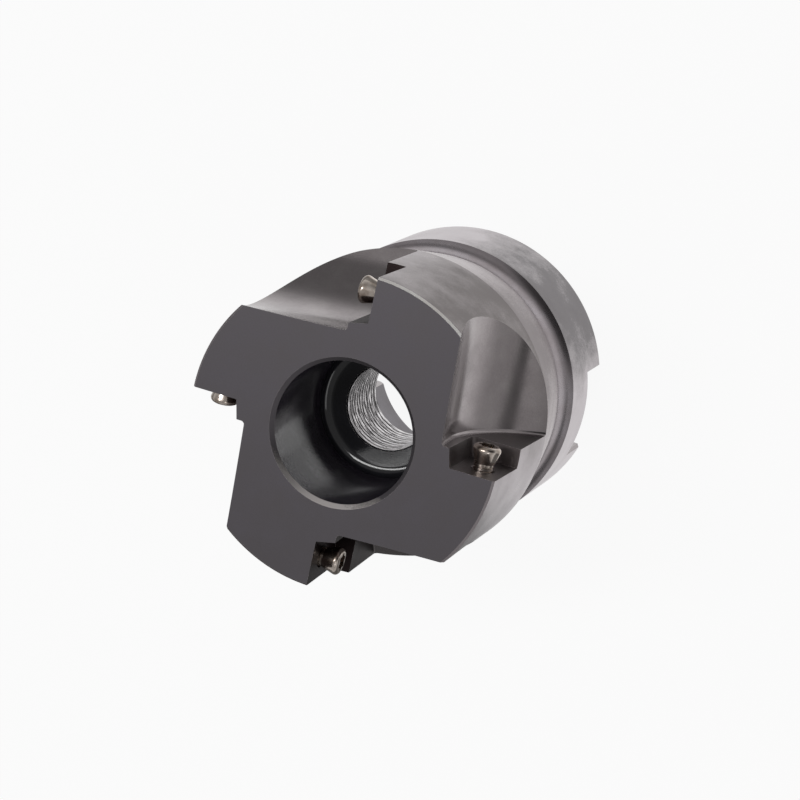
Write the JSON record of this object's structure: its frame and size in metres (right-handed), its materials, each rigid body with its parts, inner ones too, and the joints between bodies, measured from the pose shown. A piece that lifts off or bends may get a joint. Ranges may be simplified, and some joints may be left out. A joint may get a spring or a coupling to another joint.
{
  "type": "indexable face mill",
  "caption": "Shell-type milling cutter body with open insert pockets, curved chip gullets, a deep counterbore, a rear drive slot and loose insert screws.",
  "frame": {"origin": "centre of the rear face, on the tool's axis", "axes": "+Z along the tool's axis from the rear face towards the cutting end; +X along the cutting edge of the first tooth"},
  "size_m": [0.0376, 0.0376, 0.0464],
  "materials": {
    "black_oxide_steel": "satin",
    "plated_screw_steel": "polished"
  },
  "bodies": {
    "root": {"cutter_body": "black_oxide_steel", "insert_screw_1": "plated_screw_steel", "insert_screw_2": "plated_screw_steel", "insert_screw_3": "plated_screw_steel", "insert_screw_4": "plated_screw_steel"}
  },
  "joints": []
}
